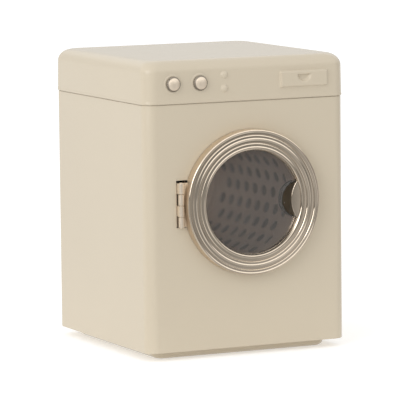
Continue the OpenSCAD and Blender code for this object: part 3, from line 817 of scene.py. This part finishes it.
class WASHER_OT_door_ring(bpy.types.Operator):
    """Build the pressed and plated door ring with its beads and grooves"""

    bl_idname = "washer.door_ring"
    bl_label = "Door ring"

    def execute(self, context):
        ring = make_object("door_bezel", lathe(ring_outline(), settings()[1].segments, DOOR_AXIS), sharp=50)
        # The door's hinge leaf comes through a notch at the left of the ring
        play = 0.05
        notch = make_object("notch", box_bmesh((RING_LOW.x - 0.001, FRONT_Y - 0.0008, (LEAF_LOW - play) * MM),
                                               (RING_LOW.x + 0.003, FRONT_Y + 0.001, (LEAF_HIGH + play) * MM)))
        carve(ring, notch, sharp=50)
        dress(ring, "nickel", "door", "satin_nickel", "door_ring")
        return {"FINISHED"}


class WASHER_OT_window(bpy.types.Operator):
    """Build the window, its back ring and the finger cup"""

    bl_idname = "washer.window"
    bl_label = "Window"

    def execute(self, context):
        self.pane()
        self.back_ring()
        self.cup()
        return {"FINISHED"}

    def pane(self):
        """Clear window with chamfered edges and a hole for the cup."""
        outer, edge, play = 24.6, 0.2, 0.04
        outline = [(0, WINDOW_BACK), (outer - edge, WINDOW_BACK), (outer, WINDOW_BACK + edge),
                   (outer, WINDOW_FRONT - edge), (outer - edge, WINDOW_FRONT), (0, WINDOW_FRONT)]
        pane = make_object("window_pane", lathe(outline, SEGMENTS, DOOR_AXIS, closed=False))
        bm = bmesh.new()
        for row in lens_rows(bm, CUP_X, [(CUP_R + play, PLATE_BORE, forward) for forward in (-1, 4)]):
            bm.faces.new(row)
        carve(pane, make_object("cup_hole", bm))
        dress(pane, "clear", "door", "clear_window", "door_window")

    def back_ring(self):
        """Plate behind the window, with a collar that reaches into the neck."""
        outer, collar, wall, reach, edge = 30.4, 25.0, 0.8, -1.4, 0.2
        section = [(PLATE_BORE + 0.1, PLATE_BACK), (PLATE_BORE, PLATE_BACK + 0.1)]
        section += arc((PLATE_BORE + 0.25, PLATE_FRONT - 0.25), 0.25, 180, 90, 5)
        section += [(outer, PLATE_FRONT), (outer, PLATE_BACK), (collar, PLATE_BACK), (collar, reach + edge),
                    (collar - edge, reach), (collar - wall + edge, reach), (collar - wall, reach + edge),
                    (collar - wall, PLATE_BACK)]
        plate = make_object("window_back_ring", lathe(section, SEGMENTS, DOOR_AXIS))
        dress(plate, "nickel", "door", "satin_nickel", "door_back_ring")

    def cup(self):
        """Smoked cup behind the window, with a ledge against its back and round edges at its floor."""
        bore, ledge, depth, bend, wall = PLATE_BORE - 0.05, CUP_R + 0.2, 5.2, 1.6, 0.6
        middle = (-bend, WINDOW_FRONT - depth + bend)
        outside = [(CUP_R, bore, WINDOW_FRONT - 0.02), (CUP_R, bore, WINDOW_BACK), (ledge, bore, WINDOW_BACK - 0.02),
                   (ledge, bore, PLATE_BACK), (CUP_R, bore, PLATE_BACK)]
        outside += [(CUP_R + grow, bore + grow, forward) for grow, forward in arc(middle, bend, 0, -90, 6)]
        inside = arc(middle, bend - wall, -90, 0, 6) + [(-0.55, WINDOW_FRONT - 0.2), (-0.35, WINDOW_FRONT)]
        bm = bmesh.new()
        outer_rows = lens_rows(bm, CUP_X, outside)
        inner_rows = lens_rows(bm, CUP_X, [(CUP_R + grow, bore + grow, forward) for grow, forward in inside])
        bm.faces.new(outer_rows[-1])
        bm.faces.new(inner_rows[0])
        bridge(bm, inner_rows[-1], outer_rows[0])
        dress(make_object("finger_cup_moulding", bm), "smoke", "door", "smoked_plastic", "finger_cup")


class WASHER_OT_grip(bpy.types.Operator):
    """Build the flat grip plate that bridges the finger cup"""

    bl_idname = "washer.grip"
    bl_label = "Grip"

    def execute(self, context):
        low, high, bevel, edge = 3.8, 4.5, 0.32, 0.12
        levels = [(GRIP_R - edge, RING_BORE, low), (GRIP_R, RING_BORE, low + edge)]
        levels += [(radius, RING_BORE, forward)
                   for radius, forward in arc((GRIP_R - bevel, high - bevel), bevel, 0, 90, 5)]
        bm = bmesh.new()
        rows = lens_rows(bm, GRIP_X, levels)
        bm.faces.new(rows[0])
        bm.faces.new(rows[-1])
        dress(make_object("grip_segment", bm, sharp=50), "nickel", "door", "satin_nickel", "grip_plate")
        return {"FINISHED"}


def hinge_lathe(outline, segments, closed=True):
    """A bmesh turned about the hinge's axis. The outline's points are (radius, height) in millimetres."""
    bm = lathe(outline, segments, (0, 0, 0), closed)
    bmesh.ops.rotate(bm, cent=(0, 0, 0), matrix=Matrix.Rotation(math.radians(-90), 3, "X"), verts=bm.verts)
    bmesh.ops.translate(bm, vec=(HINGE.x, HINGE.y, 0), verts=bm.verts)
    return bm


def hinge_leaf(plate, strap, numbers, bore, bevel=SOFT_EDGE):
    """One leaf of the hinge. For each number it has a hollow knuckle about the pin, with chamfered ends, and a strap
    to it. plate and strap are (left, front, right, back) in metres."""
    parts = [box_bmesh((*plate[:2], LEAF_LOW * MM), (*plate[2:], LEAF_HIGH * MM), bevel)]
    for number in numbers:
        low, high, edge = KNUCKLES[number], KNUCKLES[number + 1] - KNUCKLE_GAP, 0.12
        parts.append(hinge_lathe([(bore, low), (KNUCKLE_R - edge, low), (KNUCKLE_R, low + edge),
                                  (KNUCKLE_R, high - edge), (KNUCKLE_R - edge, high), (bore, high)], 48))
        parts.append(box_bmesh((*strap[:2], low * MM), (*strap[2:], high * MM), SOFT_EDGE))
    return join_bmeshes(parts)


class WASHER_OT_hinge(bpy.types.Operator):
    """Build the hinge: the cabinet leaf, the door leaf and the pin"""

    bl_idname = "washer.hinge"
    bl_label = "Hinge"

    def execute(self, context):
        leaf = LEAF * MM
        # Cabinet leaf behind the front panel
        front, left, width = FRONT_Y + SHEET * MM, HINGE.x - KNUCKLE_R * MM, 0.0066
        fixed = hinge_leaf((left - width, front, left + leaf, front + leaf),
                           (left, HINGE.y, left + leaf, front + leaf), (1, 3), bore=0.56, bevel=0.00008)
        dress(make_object("hinge_cabinet_leaf", fixed), "hinge", "cabinet", "satin_nickel", "hinge_leaf_cabinet")

        # Door leaf on the back ring, clear of the cabinet's knuckles
        front, left, right = FRONT_Y - PLATE_BACK * MM, HINGE.x + (KNUCKLE_R + 0.06) * MM, DOOR_X - 0.0254
        moving = hinge_leaf((left, front, right, front + leaf), (HINGE.x, front, left, front + leaf), (0, 2),
                            bore=0.61)
        dress(make_object("hinge_door_leaf", moving), "hinge", "door", "satin_nickel", "hinge_leaf_door")

        # Pin with a formed head at each end
        foot, top, neck = PIN_LOW.z / MM, PIN_HIGH.z / MM, KNUCKLES[-1] - KNUCKLE_GAP
        pin = [(0, foot), (0.7, foot), (0.9, foot + 0.12), (0.9, foot + 0.28), (0.55, foot + 0.3), (0.55, neck),
               (0.92, neck), (0.92, top - 0.2), (0.6, top), (0, top)]
        rod = make_object("hinge_pin_rod", hinge_lathe(pin, 40, closed=False))
        dress(rod, "hinge", "cabinet", "satin_nickel", "hinge_pin")
        return {"FINISHED"}


class WASHER_OT_dials(bpy.types.Operator):
    """Build the two domed dials with fluted edges and an index nick"""

    bl_idname = "washer.dials"
    bl_label = "Dials"

    def execute(self, context):
        for side, index in (("left", 135), ("right", 245)):
            rise = (LID_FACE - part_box("dial_" + side)[0].y) / MM
            place = (DIALS[side].x, LID_FACE, DIALS[side].z)
            dial = make_object("dial_" + side + "_knob", dial_bmesh(place, rise, index), sharp=60)
            dress(dial, "dial_" + side, side + "_dial", "satin_nickel", "dial_" + side)
        return {"FINISHED"}


def dial_bmesh(place, rise, index):
    """One dial: its dome, its fluted wall and its spindle, from a place on the lid's face. rise is its height there
    in millimetres, and index is where its nick is in degrees."""
    radius, dome, lift, spindle, inner_end = 3.3, 4.6, 0.27, 1.0, -3.2
    flutes, flute_start, flute_depth, nick_depth, nick_width, segments = 24, 2.6, 0.16, 0.35, 4.5, 240
    # Radius, distance forward and how much of the flutes shows there
    section = [(r, rise - dome + math.sqrt(dome * dome - r * r), max(0, r - flute_start) / (radius - flute_start))
               for r in (0, 0.5, 0.9, 1.3, 1.7, 2.0, 2.3, 2.6, 2.8, 3.0, 3.15, 3.25)]
    section += [(radius, rise - 1.5, 1), (radius, lift + 0.15, 1), (radius - 0.1, lift, 0.6), (2.2, lift, 0),
                (spindle, lift, 0), (spindle, inner_end, 0), (0, inner_end, 0)]
    bm = bmesh.new()
    rows = []
    for ring_radius, forward, cut in section:
        row = []
        for turn in [2 * math.pi * k / segments for k in range(1 if ring_radius == 0 else segments)]:
            wave = 0.5 + 0.5 * math.cos(turn * flutes)
            nick = math.exp(-((math.degrees(turn) - index) / nick_width) ** 2)
            r = ring_radius - cut * (flute_depth * wave ** 2 + nick_depth * nick)
            row.append(axis_vertex(bm, place, r, turn, forward))
        rows.append(row)
    bridge_all(bm, rows)
    return bm


# Drum

def row_shift(row):
    """How far back a row's holes are set, in millimetres. Every other row is set back by half a pitch."""
    return HOLE_PITCH / 2 if row % 2 == 0 else 0


def holes_in_row(row):
    """How many holes a row has before the drum's back."""
    return int((DRUM_HIGH.y / MM - PLAIN_BACK - HOLE_FIRST - row_shift(row)) // HOLE_PITCH) + 1


def hole_tile(steps):
    """A tile of the drum's wall with one round hole, centred on +X from its axis. It spans one row by one pitch."""
    half_u, half_v = math.pi / HOLE_ROWS * DRUM_R, HOLE_PITCH / 2
    corners = ((half_u, -half_v), (half_u, half_v), (-half_u, half_v), (-half_u, -half_v))
    border, rim = [], []
    for side, (corner, after) in enumerate(zip(corners, corners[1:] + corners[:1])):
        for k in range(steps):
            border.append([a + (b - a) * k / steps for a, b in zip(corner, after)])
            turn = math.radians(-45 + 90 * side + 90 * k / steps)
            rim.append((HOLE_D / 2 * math.cos(turn), HOLE_D / 2 * math.sin(turn)))
    bm = bmesh.new()
    inner_r = DRUM_R - DRUM_WALL
    bridge_all(bm, [[axis_vertex(bm, (0, 0, 0), radius, u / DRUM_R, -v) for u, v in points]
                    for radius, points in ((DRUM_R, border), (DRUM_R, rim), (inner_r, rim), (inner_r, border))])
    return bm


def plain_bands(steps):
    """The drum's wall in front of the first holes and behind the last, row by row, about the drum's axis. Where the
    next rows have a hole beside it, it's cut as their tiles are, so that the edges meet."""
    front, back = DRUM_LOW.y / MM, DRUM_HIGH.y / MM
    beside = [HOLE_PITCH * (0.5 - k / steps) for k in range((steps + 1) // 2)]
    bm = bmesh.new()
    for row in range(HOLE_ROWS):
        first = HOLE_FIRST + row_shift(row) - HOLE_PITCH / 2
        last = first + HOLE_PITCH * holes_in_row(row)
        further = beside if row_shift(row) else []
        turns = [math.pi * (2 * k / steps - 1) / HOLE_ROWS + math.radians(row * ROW_STEP + HOLE_TURN)
                 for k in range(steps + 1)]
        for open_end, cuts in ((0, [front, first, *(first - gap for gap in further)]),
                               (-1, [last, back, *(last + gap for gap in further)])):
            cuts = sorted(set(round(cut, 5) for cut in cuts))
            outer, inner = ([[axis_vertex(bm, (0, 0, 0), radius, turn, -cut) for turn in turns] for cut in cuts]
                            for radius in (DRUM_R, DRUM_R - DRUM_WALL))
            bridge_all(bm, outer, closed=False)
            bridge_all(bm, inner, closed=False)
            bridge(bm, outer[open_end], inner[open_end], closed=False)
    return bm


# Geometry trees that copy the mesh they are given

def copying_tree(name, **inputs):
    """A new geometry node tree with inputs for a mesh, numbers and a material. Returns it and its input sockets."""
    tree = bpy.data.node_groups.new(name, "GeometryNodeTree")
    for label, kind in {"Geometry": "Geometry", **inputs, "Material": "Material"}.items():
        tree.interface.new_socket(label, in_out="INPUT", socket_type="NodeSocket" + kind)
    tree.interface.new_socket("Geometry", in_out="OUTPUT", socket_type="NodeSocketGeometry")
    return tree, tree.nodes.new("NodeGroupInput").outputs


def add_copies(tree, given, count):
    """Copies of the given mesh, all in its own place. Returns them and their index."""
    points = add_node(tree, "GeometryNodeMeshLine", {"Count": count, "Offset": (0, 0, 0)}).outputs[0]
    copies = add_node(tree, "GeometryNodeInstanceOnPoints", {"Points": points, "Instance": given["Geometry"]})
    return copies.outputs[0], tree.nodes.new("GeometryNodeInputIndex").outputs[0]


def along_y(tree, value):
    """A vector that has a value along Y."""
    return add_node(tree, "ShaderNodeCombineXYZ", {1: value}).outputs[0]


def turn_copies(tree, copies, angle, pivot=(0, 0, 0)):
    """Turns copies by an angle about an axis along Y through a point."""
    turn = add_node(tree, "GeometryNodeRotateInstances", {"Instances": copies, "Rotation": along_y(tree, angle),
                                                          "Pivot Point": pivot, "Local Space": False})
    return turn.outputs[0]


def send_copies(tree, given, copies):
    """Makes copies real, gives them their material and sends them out. Returns the tree."""
    real = add_node(tree, "GeometryNodeRealizeInstances", {0: copies}).outputs[0]
    painted = add_node(tree, "GeometryNodeSetMaterial", {"Geometry": real, "Material": given["Material"]})
    add_node(tree, "NodeGroupOutput", {0: painted.outputs[0]})
    return tree


def perforation_tree():
    """Copies in staggered rows round the Y axis."""
    tree, given = copying_tree("perforated_rows", Count="Int", Rows="Int", Pitch="Float", First="Float",
                               Turn="Float", Step="Float")
    copies, index = add_copies(tree, given, math_node(tree, "MULTIPLY", given["Rows"], given["Count"]))
    row = math_node(tree, "FLOOR", math_node(tree, "DIVIDE", index, given["Count"]))
    column = math_node(tree, "MODULO", index, given["Count"])
    along = math_node(tree, "ADD", math_node(tree, "MULTIPLY", column, given["Pitch"]), given["First"])
    angle = math_node(tree, "SUBTRACT", given["Turn"], math_node(tree, "MULTIPLY", row, given["Step"]))
    moved = add_node(tree, "GeometryNodeTranslateInstances",
                     {"Instances": copies, "Translation": along_y(tree, along), "Local Space": False})
    return send_copies(tree, given, turn_copies(tree, moved.outputs[0], angle))


def ring_tree():
    """Copies evenly round an axis along Y."""
    tree, given = copying_tree("copies_round_axis", Count="Int", Centre="Vector")
    copies, index = add_copies(tree, given, given["Count"])
    angle = math_node(tree, "MULTIPLY", index, math_node(tree, "DIVIDE", 2 * math.pi, given["Count"]))
    return send_copies(tree, given, turn_copies(tree, copies, angle, given["Centre"]))


def copy_piece(target, tree, **values):
    """Runs a copying tree on a piece, with its values set by the identifiers of their sockets."""
    copies = target.modifiers.new("copies", "NODES")
    copies.node_group = tree
    for item in tree.interface.items_tree:
        if item.item_type == "SOCKET" and item.in_out == "INPUT" and item.name in values:
            copies[item.identifier] = values[item.name]
    settle(target)


class WASHER_OT_drum(bpy.types.Operator):
    """Build the perforated drum, its rolled rim and its back"""

    bl_idname = "washer.drum"
    bl_label = "Drum"

    def execute(self, context):
        steps = settings()[2].hole_steps
        tree = perforation_tree()
        parts = []
        for parity in (0, 1):
            share = make_object("holes", hole_tile(steps))
            copy_piece(share, tree, Count=holes_in_row(parity), Rows=HOLE_ROWS // 2, Pitch=HOLE_PITCH * MM,
                       First=(HOLE_FIRST + row_shift(parity)) * MM, Turn=math.radians(-HOLE_TURN - ROW_STEP * parity),
                       Step=math.radians(2 * ROW_STEP), Material=MATERIALS["drum"])
            bm = bmesh.new()
            bm.from_mesh(share.data)
            parts.append(bm)
            bpy.data.objects.remove(share)
        whole = join_bmeshes(parts + [plain_bands(steps)])
        bmesh.ops.remove_doubles(whole, verts=whole.verts, dist=2e-6)
        bmesh.ops.translate(whole, vec=(DOOR_X, 0, DOOR_Z), verts=whole.verts)
        dress(make_object("drum_cylinder", whole, sharp=40), "drum", "drum", "drum_steel", "drum_shell")

        roll = arc((DRUM_R - 0.55, 0.1), 1.0, -150, 210, 28)[:-1]
        rim = make_object("drum_rolled_rim", lathe(roll, SEGMENTS, (DOOR_X, DRUM_LOW.y, DOOR_Z)))
        dress(rim, "drum", "drum", "drum_steel", "drum_front_rim")

        # Back: a flange against the wall, a bend, a raised ring and a flat middle with the bushing's hole
        outer, sheet, flange, bend, bore, ring_r = DRUM_R - DRUM_WALL, 0.5, 3.5, 0.4, 3.0, 0.45
        middle = sheet + bend
        section = [(bore, 0), (outer - 0.2, 0), (outer, 0.2), (outer, flange), (outer - sheet, flange),
                   (outer - sheet, middle)]
        section += arc((outer - sheet - bend, middle), bend, 0, -90, 4) + [(21.3, sheet)]
        section += arc((20.6, middle), ring_r, 0, 90, 4) + arc((15.4, middle), ring_r, 90, 180, 4)
        section += [(14.7, sheet), (bore, sheet)]
        back = make_object("drum_back_plate", lathe(section, SEGMENTS, (DOOR_X, DRUM_HIGH.y, DOOR_Z)))
        dress(back, "drum", "drum", "drum_steel", "drum_back")
        return {"FINISHED"}


class WASHER_OT_hardware(bpy.types.Operator):
    """Build the door's screws and finish the small steel and nylon pieces"""

    bl_idname = "washer.hardware"
    bl_label = "Hardware"

    def execute(self, context):
        reach = SCREW_CIRCLE / math.sqrt(2) * MM
        place = (DOOR_X + reach, FRONT_Y, DOOR_Z + reach)
        head, shank, under, end = 1.38, 0.7, PLATE_BACK + 0.2, 3.0
        outline = [(0, PLATE_BACK), (head - 0.08, PLATE_BACK), (head, PLATE_BACK + 0.08), (head, under),
                   (shank, under), (shank, end), (0, end + 0.05)]
        screw = make_object("door_ring_screws", lathe(outline, 32, place, closed=False))
        arm, half, behind, depth = 0.0009, 0.00013, 0.0006, 0.00089
        cross = [make_object("cross", box_bmesh((place[0] - a, FRONT_Y - depth, place[2] - b),
                                                (place[0] + a, FRONT_Y - behind, place[2] + b)))
                 for a, b in ((arm, half), (half, arm))]
        carve(screw, *cross)
        copy_piece(screw, ring_tree(), Count=4, Centre=(DOOR_X, 0, DOOR_Z), Material=MATERIALS["steel"])
        dress(screw, "steel", "door", "bare_steel", "door_screws")
        for node in ("drum_bracket", "drum_axle", "axle_washer", "axle_push_nut", "door_magnet", "hinge_rivets",
                     "dial_left_clip", "dial_right_clip"):
            repaint(node, "steel")
        repaint("drum_bushing", "nylon")
        return {"FINISHED"}


# Stage

def camera_matrix(place, yaw, pitch, roll):
    """World matrix of a camera that looks along +Y turned by yaw to the right, then down by pitch."""
    forward = Vector((math.sin(yaw) * math.cos(pitch), math.cos(yaw) * math.cos(pitch), -math.sin(pitch)))
    level = Vector((math.cos(yaw), -math.sin(yaw), 0))
    up = level.cross(forward)
    right = math.cos(roll) * level + math.sin(roll) * up
    top = -math.sin(roll) * level + math.cos(roll) * up
    turn = Matrix((right, top, -forward)).transposed()
    return Matrix.Translation(place) @ turn.to_4x4()


class WASHER_OT_stage(bpy.types.Operator):
    """Set up the camera, the pale floor, the white surroundings and the soft lamp"""

    bl_idname = "washer.stage"
    bl_label = "Stage"

    def execute(self, context):
        stage = settings()[3]
        room = surroundings_group()
        self.camera(context.scene, stage)
        self.lamp(context.scene, stage)
        self.world(context.scene, stage, room)
        bm = bmesh.new()
        bmesh.ops.create_grid(bm, x_segments=2, y_segments=2, size=8)
        floor = make_object("studio_floor", bm)
        floor.data.materials.append(self.floor_material(stage, room))
        return {"FINISHED"}

    def camera(self, scene, stage):
        """The camera of the photograph."""
        data = bpy.data.cameras.new("camera")
        data.lens = stage.focal
        data.sensor_width = 36
        data.clip_start, data.clip_end = 0.1, 50
        camera = bpy.data.objects.new("camera", data)
        scene.collection.objects.link(camera)
        camera.matrix_world = camera_matrix(Vector(stage.camera_place), *stage.camera_turn)
        scene.camera = camera
        scene.view_settings.view_transform = "Standard"

    def lamp(self, scene, stage):
        """A large soft lamp at the left, aimed at the machine."""
        place, target = Vector((-1.19, -0.65, 0.61)), Vector((0, 0, 0.06))
        data = bpy.data.lights.new("key_lamp", "AREA")
        data.size = 0.9
        data.energy = stage.key_power
        lamp = bpy.data.objects.new("key_lamp", data)
        scene.collection.objects.link(lamp)
        lamp.location = place
        lamp.rotation_euler = (target - place).to_track_quat("-Z", "Y").to_euler()

    def world(self, scene, stage, room):
        """White to the camera and through the window, as bright as the room in metal, and even light elsewhere."""
        world = bpy.data.worlds.new("white_surroundings")
        world.use_nodes = True
        scene.world = world
        tree = world.node_tree
        tree.nodes.clear()
        path = tree.nodes.new("ShaderNodeLightPath").outputs
        place = tree.nodes.new("ShaderNodeTexCoord").outputs["Generated"]
        mirrored = use_group(tree, room, place)["Strength"]
        # The even light and the room in metal are of the background's own grey
        lit = add_node(tree, "ShaderNodeBackground", {"Strength": stage.sky}).outputs[0]
        metal = add_node(tree, "ShaderNodeBackground", {"Strength": mirrored}).outputs[0]
        seen = add_node(tree, "ShaderNodeBackground", {"Color": (1, 1, 1, 1), "Strength": 1.0}).outputs[0]
        direct = math_node(tree, "MAXIMUM", path["Is Camera Ray"], path["Is Transmission Ray"])
        shown = mix_shaders(tree, path["Is Glossy Ray"], lit, metal)
        add_node(tree, "ShaderNodeOutputWorld", {"Surface": mix_shaders(tree, direct, shown, seen)})

    def floor_material(self, stage, room):
        """Pale floor that looks white to the camera and keeps the machine's shadow."""
        made, tree, shader, output = new_material("pale_floor", Base_Color=(0.94, 0.94, 0.94, 1), Roughness=0.9,
                                                  Specular_IOR_Level=0.0)
        grain = add_node(tree, "ShaderNodeTexNoise", {"Scale": 300})
        add_bump(tree, shader, grain.outputs["Fac"], 0.02, 0.0001)
        path = tree.nodes.new("ShaderNodeLightPath").outputs
        far = add_node(tree, "ShaderNodeVectorMath", {0: object_vector(tree)}, operation="LENGTH").outputs["Value"]
        # Beside the machine the floor glows for all but camera rays, adding light to the machine's lower sides as a
        # lamp would.
        bounce = fade(tree, far, 0.07, 0.14, stage.floor_bounce, 0.0)
        strength = add_node(tree, "ShaderNodeMix", {"Factor": path["Is Camera Ray"], "A": bounce, "B": 0.35})
        glow = add_node(tree, "ShaderNodeEmission", {"Color": (1, 1, 1, 1), "Strength": strength.outputs["Result"]})
        both = add_node(tree, "ShaderNodeAddShader", {0: shader.outputs[0], 1: glow.outputs[0]}).outputs[0]
        # In metal the floor is as bright as the room in its direction from the door
        bright = use_group(tree, room, object_vector(tree, DOOR_AXIS))["Strength"]
        mirrored = add_node(tree, "ShaderNodeEmission", {"Strength": bright}).outputs[0]
        tree.links.new(mix_shaders(tree, path["Is Glossy Ray"], both, mirrored), output.inputs["Surface"])
        return made


OPERATORS = (WASHER_OT_cabinet, WASHER_OT_lid, WASHER_OT_base, WASHER_OT_neck, WASHER_OT_drum, WASHER_OT_door_ring,
             WASHER_OT_window, WASHER_OT_grip, WASHER_OT_hinge, WASHER_OT_dials, WASHER_OT_hardware, WASHER_OT_stage)


class WASHER_PT_panel(bpy.types.Panel):
    """Lists the machine's settings and the steps that build it."""

    bl_idname = "WASHER_PT_panel"
    bl_label = "Toy Washing Machine"
    bl_space_type = "VIEW_3D"
    bl_region_type = "UI"
    bl_category = "Washer"

    def draw(self, context):
        layout = self.layout
        for group in settings():
            box = layout.box()
            for name in group.__annotations__:
                box.prop(group, name)
        for operator in OPERATORS:
            layout.operator(operator.bl_idname)


GROUPS = {"washer_cabinet": CabinetSettings, "washer_door": DoorSettings, "washer_drum": DrumSettings,
          "washer_stage": StageSettings}


def register():
    """Registers the classes and puts the settings on the scene."""
    for made in (*GROUPS.values(), *OPERATORS, WASHER_PT_panel):
        bpy.utils.register_class(made)
    for name, made in GROUPS.items():
        setattr(bpy.types.Scene, name, PointerProperty(type=made))


def unregister():
    """Takes everything away again."""
    for name in GROUPS:
        delattr(bpy.types.Scene, name)
    for made in reversed((*GROUPS.values(), *OPERATORS, WASHER_PT_panel)):
        bpy.utils.unregister_class(made)


def main():
    """Builds the machine and its stage."""
    register()
    make_materials()
    for operator in OPERATORS:
        area, name = operator.bl_idname.split(".")
        getattr(getattr(bpy.ops, area), name)()


if __name__ == "__main__":
    main()
